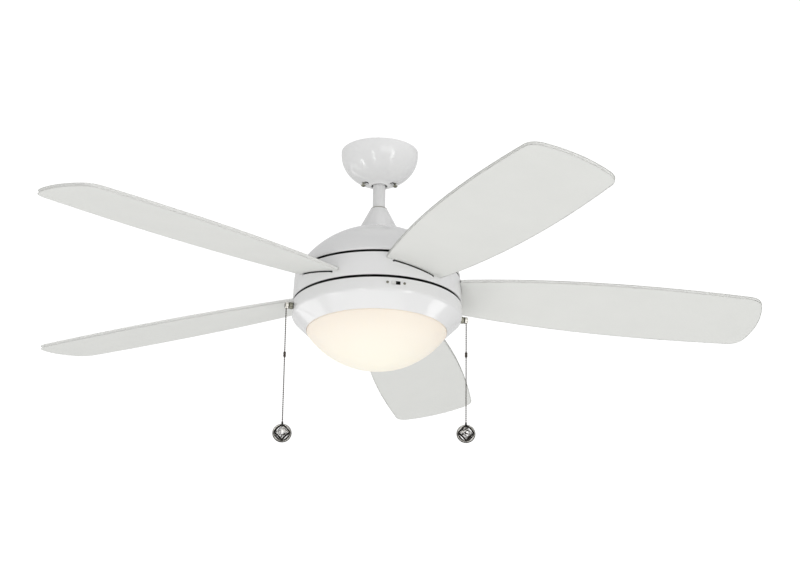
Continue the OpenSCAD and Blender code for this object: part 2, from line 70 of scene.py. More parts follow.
ROTOR_Z = -255.0
SHEET = 1.5
AZIMUTH, PITCH, DROOP = 6.5, 11.2, 1.3
BLADES = 5
BLADE_THICK, PLATE_THICK = 5.0, 3.0
BLADE_TIP, TIP_BOW = 660.4, 183.0
ROOT_GAP = 0.7  # from the turning band to a blade's root
TIP_CORNER_START, TIP_CORNER_END = BLADE_TIP - 32, 54
PLATE_HOLES = ((175, 22), (175, -22), (218, 0))
PAD_HOLES = ((118, 20), (118, -20))
SLOT_HALF, SLOT_BELOW, SLOT_TOP = 36.7, 2.6, 8.8
CANOPY_R, CANOPY_H, CANOPY_RIM = 66.0, 62.0, 5.0
CANOPY_SWEEP = 72  # degrees of the canopy's quarter ellipse, from its rim to its collar
CANOPY_SCREW_X = 27.4
CONE_TOP_Z, CONE_BOTTOM_Z, CONE_BOTTOM_R = ROTOR_Z + 150, ROTOR_Z + 107, 35.5
DOME_SPHERE_R, DOME_CENTRE_Z, DOME_R, DOME_EDGE_Z = 158.5, -304.4, 139.5, -233.3
DOME_HOLE_R = 16.5
RING_R, RING_TOP_Z, RING_BOTTOM_Z = 142.5, -237.6, -278.0
TROUGH_R, WEB_TOP_Z, ROTOR_COVER_Z = 96.0, ROTOR_Z - 16.5, ROTOR_Z + 3.0
PAN_R, PAN_TOP_Z, PAN_BEND_Z = 143.0, -282.6, -304.0
PAN_HOLE_R = 52
MOUTH_R, MOUTH_Z = 118.2, -328.8
SHELF_Z = -320.5
BOWL_SPHERE_R, BOWL_CENTRE_Z, GLASS_THICK, NECK_R = 143.8, -246.8, 3.0, 117.2
CHAIN_AZIMUTH, CHAIN_X, CHAIN_Y, CHAIN_R = 10.255, 152.0, 27.5, 154.468
CHAIN_D, CHAIN_LEVEL_Z = 2.4, -294.0
EXIT_Z = -299.9
SWITCH_AZIMUTH, SWITCH_Z, SWITCH_SCREW_Y = -78.8, -291.6, 14.2
FOB_R = 15.8

# The levels between which the glass's painted lamp light changes its colour
GLOW_BOTTOM_Z, GLOW_TOP_Z = -391.0, -322.0


# ---------------------------------------------------------------- materials

class Nodes:
    """A material's node tree with short calls for the nodes used here. Scales are per metre."""

    def __init__(self, name):
        self.material = bpy.data.materials.new(name)
        self.material.use_nodes = True
        self.tree = self.material.node_tree
        self.shader = self.tree.nodes["Principled BSDF"]
        self.coord = self.tree.nodes.new("ShaderNodeTexCoord")

    def link(self, out, into):
        self.tree.links.new(out, into)

    def place(self, stretch=NO_STRETCH):
        """The object's own coordinates, scaled along each axis."""
        mapping = self.tree.nodes.new("ShaderNodeMapping")
        mapping.inputs["Scale"].default_value = stretch
        self.link(self.coord.outputs["Object"], mapping.inputs["Vector"])
        return mapping.outputs["Vector"]

    def noise(self, scale, detail=3.0, rough=0.5, stretch=NO_STRETCH):
        node = self.tree.nodes.new("ShaderNodeTexNoise")
        node.inputs["Scale"].default_value = scale
        node.inputs["Detail"].default_value = detail
        node.inputs["Roughness"].default_value = rough
        self.link(self.place(stretch), node.inputs["Vector"])
        return node.outputs["Fac"]

    def ramp(self, factor, *stops):
        """A colour for a factor, from (position, colour) pairs."""
        node = self.tree.nodes.new("ShaderNodeValToRGB")
        elements = node.color_ramp.elements
        while len(elements) < len(stops):
            elements.new(0.5)
        for element, (at, colour) in zip(elements, stops):
            element.position = at
            element.color = (*colour, 1.0)
        self.link(factor, node.inputs["Fac"])
        return node.outputs["Color"]

    def spread(self, factor, low, high, from_low=0.3, from_high=0.7):
        """A factor's range, by default that of noise, spread over another one."""
        node = self.tree.nodes.new("ShaderNodeMapRange")
        node.inputs["From Min"].default_value = from_low
        node.inputs["From Max"].default_value = from_high
        node.inputs["To Min"].default_value = low
        node.inputs["To Max"].default_value = high
        self.link(factor, node.inputs["Value"])
        return node.outputs["Result"]

    def bump(self, height, depth, under=None):
        """A bump of a depth in metres, on top of another one if it is given."""
        node = self.tree.nodes.new("ShaderNodeBump")
        node.inputs["Strength"].default_value = 1.0
        node.inputs["Distance"].default_value = depth
        self.link(height, node.inputs["Height"])
        if under is not None:
            self.link(under, node.inputs["Normal"])
        return node.outputs["Normal"]


def tint(colour, amount):
    """A colour made lighter or darker."""
    return tuple(min(1.0, c * amount) for c in colour)


def surface(name, colour, rough, metal=0.0, coat=0.0, vary=0.02, grain=900.0, depth=2e-6,
            wave=60.0, wave_depth=0.0, stretch=NO_STRETCH, rough_vary=0.06, specular=0.5):
    """A finish with a broad colour variation, a roughness variation, a fine grain and a slow waviness."""
    n = Nodes(name)
    broad = n.noise(14.0, 4.0, 0.6)
    n.link(n.ramp(broad, (0.3, tint(colour, 1 - vary)), (0.7, tint(colour, 1 + vary))),
           n.shader.inputs["Base Color"])
    fine = n.noise(grain, 3.0, 0.55, stretch)
    patches = n.noise(grain * 0.12, 4.0, 0.6, stretch)
    n.link(n.spread(patches, rough - rough_vary, rough + rough_vary), n.shader.inputs["Roughness"])
    normal = n.bump(fine, depth)
    if wave_depth:
        normal = n.bump(n.noise(wave, 1.0, 0.4), wave_depth, normal)
    n.link(normal, n.shader.inputs["Normal"])
    n.shader.inputs["Metallic"].default_value = metal
    n.shader.inputs["Coat Weight"].default_value = coat
    n.shader.inputs["Coat Roughness"].default_value = 0.08
    n.shader.inputs["Specular IOR Level"].default_value = specular
    return n.material


def opal_glass():
    """White etched glass with painted light: an emission and a colour that stand in for the lamps shining
    through it, warmest near the lamps' level, palest at the bottom.
    """
    n = Nodes("opal_glass_painted_lamp_light")
    split = n.tree.nodes.new("ShaderNodeSeparateXYZ")
    n.link(n.coord.outputs["Object"], split.inputs["Vector"])
    level = n.spread(split.outputs["Z"], 0.0, 1.0, GLOW_BOTTOM_Z * MM, GLOW_TOP_Z * MM)
    cloud = n.noise(9.0, 3.0, 0.5)
    mix = n.tree.nodes.new("ShaderNodeMath")
    mix.operation = "MULTIPLY_ADD"
    mix.inputs[1].default_value = 0.12
    n.link(cloud, mix.inputs[0])
    n.link(level, mix.inputs[2])
    # Painted light: the colour and the emission change with height, warmest near the lamps' level, as though
    # the lamps lit the glass from inside.
    glass = n.ramp(mix.outputs[0], (0.0, (0.77, 0.735, 0.63)), (0.55, (0.75, 0.70, 0.615)),
                   (1.0, (0.73, 0.665, 0.585)))
    glow = n.ramp(mix.outputs[0], (0.0, (1.0, 0.94, 0.80)), (0.6, (1.0, 0.89, 0.75)),
                  (1.0, (0.92, 0.79, 0.65)))
    n.link(glass, n.shader.inputs["Base Color"])
    n.link(glow, n.shader.inputs["Emission Color"])
    n.shader.inputs["Emission Strength"].default_value = 0.23
    n.shader.inputs["Subsurface Weight"].default_value = 0.3
    n.shader.inputs["Subsurface Radius"].default_value = (0.010, 0.008, 0.006)
    n.shader.inputs["Subsurface Scale"].default_value = 1.0
    n.link(n.spread(n.noise(700.0, 2.0), 0.42, 0.56), n.shader.inputs["Roughness"])
    n.link(n.bump(n.noise(1500.0, 2.0), 1.5e-6), n.shader.inputs["Normal"])
    return n.material


def cut_glass():
    """Cut crystal with painted reflections: each facet's colour is near black or near white, standing in for
    the dark and light places it reflects.
    """
    n = Nodes("cut_glass_painted_reflections")
    cells = n.tree.nodes.new("ShaderNodeTexVoronoi")
    cells.inputs["Scale"].default_value = 400.0
    n.link(n.place(), cells.inputs["Vector"])
    split = n.tree.nodes.new("ShaderNodeSeparateColor")
    n.link(cells.outputs["Color"], split.inputs["Color"])
    # Painted reflections: a dark or a light colour for each cell
    n.link(n.ramp(split.outputs["Red"], (0.27, (0.03, 0.025, 0.02)), (0.36, (0.98, 0.97, 0.95))),
           n.shader.inputs["Base Color"])
    n.link(n.spread(n.noise(600.0, 2.0), 0.01, 0.05), n.shader.inputs["Roughness"])
    n.link(n.bump(n.noise(260.0, 1.0), 2e-6), n.shader.inputs["Normal"])
    n.shader.inputs["Metallic"].default_value = 0.25
    n.shader.inputs["IOR"].default_value = 1.52
    return n.material


def aged_metal():
    """Blackened nickel, with slightly lighter and smoother patches."""
    n = Nodes("aged_nickel")
    patches = n.noise(420.0, 4.0, 0.65)
    n.link(n.ramp(patches, (0.40, (0.006, 0.005, 0.004)), (0.72, (0.05, 0.044, 0.038))),
           n.shader.inputs["Base Color"])
    n.link(n.spread(patches, 0.5, 0.2), n.shader.inputs["Roughness"])
    n.link(n.bump(n.noise(1400.0, 3.0), 2e-5), n.shader.inputs["Normal"])
    n.shader.inputs["Metallic"].default_value = 1.0
    return n.material


FINISH = {
    "gloss": surface("gloss_white_enamel", (0.80, 0.80, 0.795), 0.17, coat=0.4, vary=0.012, grain=1500.0,
                     depth=1e-6, wave_depth=1e-5, rough_vary=0.03),
    # The canopy's copy of the white enamel, painted lighter: painted light for the light the blades keep off
    # the canopy
    "canopy_gloss_painted_lighter": surface("canopy_enamel_painted_lighter", (0.90, 0.90, 0.895), 0.17, coat=0.4, vary=0.01,
                            grain=1500.0, depth=1e-6, wave_depth=1e-5, rough_vary=0.03),
    "blade": surface("matt_white_lacquer", (0.72, 0.725, 0.695), 0.55, vary=0.012, grain=1700.0, depth=6e-6,
                     wave=220.0, wave_depth=4e-6, stretch=(0.25, 1, 1), rough_vary=0.05, specular=0.35),
    # The blades' edges, painted lighter than their faces: a painted highlight along each edge
    "blade_edge": surface("matt_white_edge_painted_highlight", (0.86, 0.86, 0.84), 0.5, vary=0.01, grain=1700.0,
                          depth=4e-6),
    "nickel": surface("satin_nickel", (0.80, 0.78, 0.72), 0.2, metal=1.0, vary=0.05, grain=2600.0,
                      depth=3e-6),
    "dull_nickel": surface("dull_nickel", (0.31, 0.305, 0.25), 0.32, metal=1.0, vary=0.12, grain=1800.0,
                           depth=4e-6),
    "darker_nickel": surface("darker_nickel_paint", (0.06, 0.058, 0.042), 0.45, metal=0.9, vary=0.2, grain=1500.0,
                      depth=6e-6),
    "chain": surface("chain_nickel", (0.085, 0.07, 0.06), 0.24, metal=1.0, vary=0.15, grain=2200.0,
                     depth=3e-6),
    "zinc": surface("zinc_plate", (0.62, 0.63, 0.64), 0.36, metal=1.0, vary=0.08, grain=800.0, depth=4e-6),
    "black": surface("black_phenolic", (0.018, 0.018, 0.018), 0.42, vary=0.2, grain=1200.0, depth=6e-6),
    "nylon": surface("natural_nylon", (0.78, 0.75, 0.66), 0.45, vary=0.04, grain=900.0, depth=6e-6),
    "cast": surface("cast_aluminium", (0.60, 0.61, 0.62), 0.5, metal=1.0, vary=0.06, grain=500.0, depth=3e-5),
    "lamination": surface("varnished_laminations", (0.10, 0.095, 0.09), 0.4, metal=0.7, vary=0.15,
                          grain=300.0, depth=6e-5, stretch=(0.02, 0.02, 6)),
    "copper": surface("enamelled_copper", (0.62, 0.25, 0.09), 0.3, metal=0.9, vary=0.15, grain=400.0,
                      depth=8e-5, stretch=(1, 1, 5)),
    "knob": surface("white_moulded_plastic", (0.82, 0.82, 0.80), 0.3, coat=0.2, vary=0.01, grain=1200.0,
                    depth=2e-6),
    "porcelain": surface("glazed_porcelain", (0.80, 0.79, 0.74), 0.18, coat=0.5, vary=0.02, grain=700.0,
                         depth=3e-6),
    "lamp": surface("frosted_lamp_glass", (0.92, 0.86, 0.74), 0.5, vary=0.02, grain=900.0, depth=3e-6),
    # Near black: painted shade for hidden inner faces
    "inside": surface("painted_shade_lining", (0.022, 0.021, 0.020), 0.7, vary=0.15, grain=500.0, depth=1e-5),
    "opal": opal_glass(),
    "cut_glass": cut_glass(),
    "aged": aged_metal(),
}


# ---------------------------------------------------------------- mesh helpers

def make(name, verts, faces, finish):
    """A new object from points in millimetres, with consistent normals, smooth but for its sharp edges."""
    mesh = bpy.data.meshes.new(name)
    mesh.from_pydata([[c * MM for c in v] for v in verts], [], faces)
    b = bmesh.new()
    b.from_mesh(mesh)
    bmesh.ops.remove_doubles(b, verts=b.verts, dist=2e-7)
    bmesh.ops.recalc_face_normals(b, faces=b.faces)
    b.to_mesh(mesh)
    b.free()
    ob = bpy.data.objects.new(name, mesh)
    SCENE.collection.objects.link(ob)
    shade(ob)
    ob.data.materials.append(FINISH[finish])
    return ob


def shade(ob):
    """Smooth shading but for the sharp edges."""
    ob.data.shade_smooth()
    ob.data.set_sharp_from_angle(angle=math.radians(SHARP_ANGLE))


def apply_modifiers(ob):
    """Swaps the object's mesh for the one that its modifiers make."""
    graph = bpy.context.evaluated_depsgraph_get()
    mesh = bpy.data.meshes.new_from_object(ob.evaluated_get(graph))
    old = ob.data
    ob.modifiers.clear()
    ob.data = mesh
    bpy.data.meshes.remove(old)


def cut(ob, cutters, edge=0.0):
    """Cuts the cutters out of ob, then rounds the new edges."""
    for cutter in cutters:
        m = ob.modifiers.new("cut", "BOOLEAN")
        m.operation = "DIFFERENCE"
        m.solver = "EXACT"
        m.object = cutter
    bpy.context.view_layer.update()
    apply_modifiers(ob)
    for cutter in cutters:
        bpy.data.objects.remove(cutter)
    if edge:
        m = ob.modifiers.new("edge", "BEVEL")
        m.width = edge * MM
        m.segments = 2
        m.limit_method = "ANGLE"
        m.angle_limit = math.radians(CUT_EDGE_ANGLE)
        m.use_clamp_overlap = True
        apply_modifiers(ob)
    shade(ob)
    return ob


def paint_shade_inside(ob, test):
    """Gives the faces that pass the test a near-black finish: painted shade, so that hollows and gaps look
    dark.

    test takes a face's distance from the axis and its height, and its normal's outward and upward parts."""
    ob.data.materials.append(FINISH["inside"])
    for face in ob.data.polygons:
        c, n = face.center, face.normal
        r = math.hypot(c.x, c.y)
        outward = (n.x * c.x + n.y * c.y) / max(r, 1e-9)
        if test(r / MM, c.z / MM, outward, n.z):
            face.material_index = 1
    return ob


def paint(ob, finish, test):
    """Gives another finish to the faces whose centre passes the test."""
    ob.data.materials.append(FINISH[finish])
    for face in ob.data.polygons:
        if test(*(face.center / MM)):
            face.material_index = len(ob.data.materials) - 1
    return ob


def join(name, parts):
    """One object from several, each with its own transform applied."""
    b = bmesh.new()
    for part in parts:
        mesh = part.data.copy()
        mesh.transform(part.matrix_world if part.parent is None else part.matrix_basis)
        b.from_mesh(mesh)
        bpy.data.meshes.remove(mesh)
    mesh = bpy.data.meshes.new(name)
    b.to_mesh(mesh)
    b.free()
    for material in parts[0].data.materials:
        mesh.materials.append(material)
    ob = bpy.data.objects.new(name, mesh)
    SCENE.collection.objects.link(ob)
    for part in parts:
        bpy.data.objects.remove(part)
    shade(ob)
    return ob


def fillet(points, arc=5):
    """A closed outline of (x, z, corner radius) as plain points, its corners rounded."""
    out = []
    n = len(points)
    for i, (x, z, radius) in enumerate(points):
        here = Vector((x, z))
        before = Vector(points[i - 1][:2]) - here
        after = Vector(points[(i + 1) % n][:2]) - here
        if radius <= 0:
            out.append((x, z))
            continue
        angle = before.angle(after)
        reach = min(radius / math.tan(angle / 2), 0.48 * before.length, 0.48 * after.length)
        radius = reach * math.tan(angle / 2)
        start = here + before.normalized() * reach
        end = here + after.normalized() * reach
        halfway = (before.normalized() + after.normalized()).normalized()
        centre = here + halfway * (radius / math.sin(angle / 2))
        a = start - centre
        sweep = a.angle_signed(end - centre)
        for k in range(arc + 1):
            t = -sweep * k / arc
            out.append((centre.x + a.x * math.cos(t) - a.y * math.sin(t),
                        centre.y + a.x * math.sin(t) + a.y * math.cos(t)))
    return out


def lathe(name, outline, finish, steps=192):
    """A closed outline of (radius, height) turned about the Z axis."""
    verts, faces, n = [], [], len(outline)
    for s in range(steps):
        a = 2 * math.pi * s / steps
        verts += [(r * math.cos(a), r * math.sin(a), z) for r, z in outline]
        t = (s + 1) % steps
        for i in range(n):
            j = (i + 1) % n
            if outline[i][0] < 1e-6 and outline[j][0] < 1e-6:
                continue
            faces.append((s * n + i, s * n + j, t * n + j, t * n + i))
    return make(name, verts, faces, finish)


def block(name, low, high, finish, edge=0.0, segments=2):
    """A box between two corners, its edges rounded."""
    xs, ys, zs = zip(low, high)
    verts = [(x, y, z) for x in xs for y in ys for z in zs]
    faces = [(0, 1, 3, 2), (4, 6, 7, 5), (0, 4, 5, 1), (2, 3, 7, 6), (0, 2, 6, 4), (1, 5, 7, 3)]
    ob = make(name, verts, faces, finish)
    if edge:
        m = ob.modifiers.new("edge", "BEVEL")
        m.width = edge * MM
        m.segments = segments
        apply_modifiers(ob)
        shade(ob)
    return ob


def rod(name, radius, low, high, finish, edge=0.0, steps=48):
    """A round bar about the Z axis between two heights, its rims rounded."""
    outline = [(0, low, 0), (radius, low, edge), (radius, high, edge), (0, high, 0)]
    return lathe(name, fillet(outline, 3), finish, steps)


def along_x(ob, angle=0.0, z=0.0):
    """Turns a piece made about Z to lie about X, then turns it round the axis and lifts it."""
    ob.data.transform(Matrix.Translation((0, 0, z * MM)) @ Matrix.Rotation(math.radians(angle), 4, "Z")
                      @ Matrix.Rotation(math.radians(90), 4, "Y"))
    return ob


def moved(ob, matrix):
    """Moves the mesh itself, so that the object stays at the origin."""
    ob.data.transform(matrix)
    return ob


def at(x, y, z, angle=0.0):
    """A place, turned about its own Z axis."""
    return Matrix.Translation((x * MM, y * MM, z * MM)) @ Matrix.Rotation(math.radians(angle), 4, "Z")


def turned(angle):
    """A turn round the Z axis."""
    return Matrix.Rotation(math.radians(angle), 4, "Z")


def arc(radius, centre_z, first_r, last_r, count, sign=1):
    """Outline points of a sphere about the axis, between two distances from it."""
    out = []
    first, last = math.asin(first_r / radius), math.asin(last_r / radius)
    for k in range(count + 1):
        a = first + (last - first) * k / count
        out.append((radius * math.sin(a), centre_z + sign * radius * math.cos(a), 0))
    return out


def screw_head(name, radius, height, finish="dull_nickel"):
    """A pan head about Z with a cross recess in its top, its seat at height 0."""
    head = lathe(name, fillet([(0, 0, 0), (radius, 0, 0.15), (radius, height * 0.35, 0.5 * height),
                               (radius * 0.55, height, 0.5 * height), (0, height, 0)], 4), finish, 40)
    arm, half = radius * 0.55, radius * 0.13
    tools = [block("recess", (-arm, -half, height * 0.35), (arm, half, height * 2), finish),
             block("recess", (-half, -arm, height * 0.35), (half, arm, height * 2), finish)]
    cut(head, tools)
    # The cross recess is painted darker nickel.
    return paint(head, "darker_nickel", lambda x, y, z: math.hypot(x, y) < arm * 1.05 and 0.2 < z < height * 0.92)


def piece(ob, body, slot, *nodes):
    """Puts a finished object on its body, in place of its CAD nodes. Its slot argument is not used."""
    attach(ob, body)
    if nodes:
        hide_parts(*nodes)
    return ob


# ---------------------------------------------------------------- camera and places

def blade_place(k):
    """Blade k's own frame: X along it, Y across it, its lower face at height 0."""
    return (turned(AZIMUTH + 360 / BLADES * k) @ at(0, 0, ROTOR_Z)
            @ Matrix.Rotation(math.radians(DROOP), 4, "Y") @ Matrix.Rotation(math.radians(-PITCH), 4, "X"))


# The camera's turn round the fan, its distance from the axis and its depth below the blades in metres, and its
# turn away from the axis, its tilt upwards and its roll in degrees
CAM_ROUND, CAM_BACK, CAM_BELOW = -1.0, 3.365, 1.252
CAM_YAW, CAM_PITCH, CAM_ROLL = 0.65, 20.425, 0.8
cam_data = bpy.data.cameras.new("camera")
cam_data.sensor_width = 36.0
cam_data.lens = 95.7
cam_data.clip_end = 400.0
camera = bpy.data.objects.new("camera", cam_data)
SCENE.collection.objects.link(camera)
SCENE.camera = camera
camera.matrix_world = (turned(CAM_ROUND) @ Matrix.Translation((0.0, -CAM_BACK, ROTOR_Z * MM - CAM_BELOW))
                       @ turned(-CAM_YAW) @ Matrix.Rotation(math.radians(90 + CAM_PITCH), 4, "X")
                       @ turned(CAM_ROLL))


# ---------------------------------------------------------------- pull chains

BEAD_PITCH, LINK_R = 3.5, 0.55
STUB_BEAD = 1.3  # from the chain's exit to the end of the bead that it swings from
BARREL_LENGTH = 9


def bead_chain(name, x, y, top, bottom):
    """Beads on short links between two heights, as one mesh."""
    count = max(2, round((top - bottom - CHAIN_D) / BEAD_PITCH) + 1)
    first, last = top - CHAIN_D / 2, bottom + CHAIN_D / 2
    parts = []
    for i in range(count):
        z = first + (last - first) * i / (count - 1)
        b = bmesh.new()
        bmesh.ops.create_uvsphere(b, u_segments=14, v_segments=10, radius=CHAIN_D / 2 * MM)
        mesh = bpy.data.meshes.new("bead")
        b.to_mesh(mesh)
        b.free()
        mesh.materials.append(FINISH["chain"])
        bead = bpy.data.objects.new("bead", mesh)
        mesh.transform(at(x, y, z))
        SCENE.collection.objects.link(bead)
        parts.append(bead)
        if i:
            link = rod("link", LINK_R, z, z + (first - last) / (count - 1), "chain", 0, 8)
            parts.append(moved(link, at(x, y, 0)))
    bpy.context.view_layer.update()
    return join(name, parts)


def connector(name, x, y, top, bottom):
    """A split barrel that holds the last bead of one chain and the first of the next."""
    mid = (top + bottom) / 2
    end_r, barrel_r, waist_r = 1.5, 2.3, 1.8
    outline = [(0, bottom, 0), (end_r, bottom, 0.2), (barrel_r, bottom + 1.3, 0.8), (barrel_r, mid - 1.2, 0.6),
               (waist_r, mid, 0.8), (barrel_r, mid + 1.2, 0.6), (barrel_r, top - 1.3, 0.8), (end_r, top, 0.2),
               (0, top, 0)]
    body = lathe(name, fillet(outline, 3), "chain", 32)
    slit = block("slit", (0.6, -0.35, bottom + 1), (3, 0.35, top - 1), "chain")
    return moved(cut(body, [slit]), at(x, y, 0))


TUBE_OVAL = 1.25  # width of a cage bar's section over its depth


def ring_tube(axis, angle, radius, tube, finish, steps=56, sides=10):
    """A bar of oval section bent into a small circle of a sphere, at an angle from the circle's axis."""
    axis = Vector(axis).normalized()
    side = axis.orthogonal().normalized()
    other = axis.cross(side)
    verts, faces = [], []
    for s in range(steps):
        t = 2 * math.pi * s / steps
        out = (side * math.cos(t) + other * math.sin(t)) * math.sin(angle) + axis * math.cos(angle)
        centre = out * radius
        across = out.cross(side * -math.sin(t) + other * math.cos(t)).normalized()
        for i in range(sides):
            a = 2 * math.pi * i / sides
            verts.append(centre + out * (tube * math.cos(a)) + across * (TUBE_OVAL * tube * math.sin(a)))
            j = (i + 1) % sides
            u = (s + 1) % steps
            faces.append((s * sides + i, u * sides + i, u * sides + j, s * sides + j))
    return make("ring", verts, faces, finish)


def fob(name, x, y, z):
    """A cluster of seven cut glass balls in a dark cage, with a hoop round its widest part and a ferrule."""
    corners = [(1, 0, 1), (-1, 0, 1), (1, 0, -1), (-1, 0, -1)]
    parts = [ring_tube(a, math.radians(44), FOB_R - 2.7, 1.3, "aged") for a in corners]
    ferrule = [(0, 13.6, 0), (2.2, 13.6, 0.3), (2.4, 15.0, 0.3), (1.4, 16.2, 0.3), (1.7, 17.6, 0.4),
               (1.3, 19.0, 0.3), (0, 19.0, 0)]
    parts.append(lathe("ferrule", fillet(ferrule, 3), "chain", 32))
    hoop = ring_tube((0, 1, 0), math.radians(90), FOB_R - 1.45, 1.4, "aged", 96, 14)
    for ob in parts + [hoop]:
        ob.data.materials.append(FINISH["nickel"])
    for face in hoop.data.polygons:
        if math.hypot(face.center.x, face.center.z) < (FOB_R - 1.1) * MM:
            face.material_index = 1
    cage = join(name, parts + [hoop])
    b = bmesh.new()
    bmesh.ops.create_icosphere(b, subdivisions=2, radius=8.2 * MM)
    for place in ((8, 0, 0), (-8, 0, 0), (0, 8, 0), (0, -8, 0), (0, 0, 8), (0, 0, -8)):
        bmesh.ops.create_icosphere(b, subdivisions=2, radius=4.6 * MM, matrix=at(*place))
    mesh = bpy.data.meshes.new(name + "_stone")
    b.to_mesh(mesh)
    b.free()
    mesh.materials.append(FINISH["cut_glass"])
    stone = bpy.data.objects.new(name + "_stone", mesh)
    SCENE.collection.objects.link(stone)
    for ob in (cage, stone):
        moved(ob, at(x, y, z))
    return cage, stone


def pull_chain(key, side, upper_end, lower_end, fob_z):
    """One pull: the upper chain from the nipple, the barrel, the lower chain and the fob."""
    x, y = side * CHAIN_X, side * CHAIN_Y
    body = key + "_pendant"
    upper_top, lower_top = EXIT_Z - STUB_BEAD, upper_end - BARREL_LENGTH
    barrel = connector(key + "_barrel", x, y, upper_end, lower_top)
    piece(barrel, body, "nickel", key + "_chain_connector")
    upper = bead_chain(key + "_beads_upper", x, y, upper_top, upper_end)
    piece(upper, body, "nickel", key + "_chain_upper")
    lower = bead_chain(key + "_beads_lower", x, y, lower_top, lower_end)
    piece(lower, body, "nickel", key + "_chain_lower")
    cage, stone = fob(key + "_fob_cage", x, y, fob_z)
    piece(cage, body, "nickel", key + "_fob")
    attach(stone, body)


pull_chain("fan", -1, -376.0, -497.0, -516.0)
pull_chain("light", 1, -351.0, -475.0, -494.0)


# ---------------------------------------------------------------- canopy

def canopy_curve(r, h, count=40):
    """Outline points of the canopy's bowl, from its rim down."""
    angles = [math.radians(CANOPY_SWEEP * k / count) for k in range(count + 1)]
    return [(r * math.cos(a), -CANOPY_RIM - h * math.sin(a), 0) for a in angles]


COLLAR_R, COLLAR_HOLE_R, COLLAR_DROP = 16.6, 13.4, 1.2
outside = canopy_curve(CANOPY_R, CANOPY_H - CANOPY_RIM)
inside = canopy_curve(CANOPY_R - SHEET, CANOPY_H - CANOPY_RIM - SHEET)
# The canopy's shell takes the enamel painted lighter: painted light.
canopy = lathe("canopy_shell", fillet(
    [(CANOPY_R, 0, 0.4)] + outside
    + [(COLLAR_R, -CANOPY_H, 0.8), (COLLAR_R, -CANOPY_H - COLLAR_DROP, 0.5),
       (COLLAR_HOLE_R, -CANOPY_H - COLLAR_DROP, 0.4), (COLLAR_HOLE_R, -CANOPY_H + SHEET, 0),
       (18, -CANOPY_H + SHEET, 0)]
    + inside[::-1] + [(CANOPY_R - SHEET, 0, 0.4)], 4), "canopy_gloss_painted_lighter", 224)
tools = []
for side in (-1, 1):
    # A keyhole: the screw's place, the round way in for its head and the way between them
    tools.append(moved(rod("hole", 2.3, -70, -50, "gloss"), at(side * CANOPY_SCREW_X, 0, 0)))
    tools.append(moved(rod("hole", 3.4, -70, -50, "gloss"), at(side * 21.4, -5.4, 0)))
    way = block("hole", (-4, -2, -70), (4, 2, -50), "gloss")
    tools.append(moved(way, at(side * 24.4, -2.7, 0, side * 42)))
# The canopy's inside is painted near black: painted shade, so that its keyholes and its collar's hole look
# dark.
paint_shade_inside(cut(canopy, tools, 0.25),
            lambda r, z, out, up: r < CANOPY_R - 3 and (up > 0.05 or out < -0.3) and z > -60.9)
piece(canopy, "ceiling", "white_paint", "canopy")

screws = []
for side in (-1, 1):
    head = screw_head("head", 4.2, 2.2)
    moved(head, at(side * CANOPY_SCREW_X, 0, -61.4) @ Matrix.Rotation(math.pi, 4, "X") @ turned(25 * side))
    shank = rod("shank", 1.85, -61.8, -46.8, "dull_nickel", 0.3, 24)
    screws += [head, moved(shank, at(side * CANOPY_SCREW_X, 0, 0))]
piece(join("canopy_screw_pair", screws), "ceiling", "nickel", "canopy_screws")


# ---------------------------------------------------------------- rod's cover, dome and their screws

CONE_HOLE_R = 11.1
CONE_WALL = SHEET / math.cos(math.radians(26))  # the sheet's thickness, measured level
cover = lathe("coupling_cone", fillet([
    (CONE_HOLE_R, CONE_TOP_Z, 0.4), (14.0, CONE_TOP_Z, 0.9), (14.6, CONE_TOP_Z - 1.8, 0.3),
    (CONE_BOTTOM_R, CONE_BOTTOM_Z, 0.4), (CONE_BOTTOM_R - CONE_WALL, CONE_BOTTOM_Z, 0),
    (14.5 - CONE_WALL, CONE_TOP_Z - 2.4, 0), (CONE_HOLE_R, CONE_TOP_Z - 1.4, 0.2)], 5), "gloss", 160)
# The cone's top band is painted dull nickel, a dark line round the rod.
paint(cover, "dull_nickel", lambda x, y, z: z > CONE_TOP_Z - 1.6)
piece(cover, "motor", "white_paint", "coupling_cover")

outside = arc(DOME_SPHERE_R, DOME_CENTRE_Z, DOME_HOLE_R, DOME_R, 60)
inside = arc(DOME_SPHERE_R - SHEET, DOME_CENTRE_Z, DOME_HOLE_R, DOME_R - SHEET, 60)
edge = [(DOME_R, DOME_EDGE_Z, 0.6), (DOME_R - SHEET, DOME_EDGE_Z, 0.5)]
dome = lathe("dome_shell", fillet(outside + edge + inside[::-1], 4), "gloss", 256)
tools = [moved(rod("hole", 2.1, ROTOR_Z + 90, ROTOR_Z + 120, "gloss"), turned(60 + 120 * i) @ at(23, 0, 0))
         for i in range(3)]
# The dome's inside is painted near black: painted shade, seen through the gap above the turning band.
paint_shade_inside(cut(dome, tools), lambda r, z, out, up: r < DOME_R - 1.0 and (up < -0.05 or out < -0.3))
piece(dome, "motor", "white_paint", "upper_housing")


# ---------------------------------------------------------------- turning ring

RELIEF_R, RELIEF_Z = 1.7, -2.1
WEB_THICK, WEB_HOLE_R = 3, 60
PAD_CORNERS = ((104, -28), (131, -28), (131, 28), (104, 28))

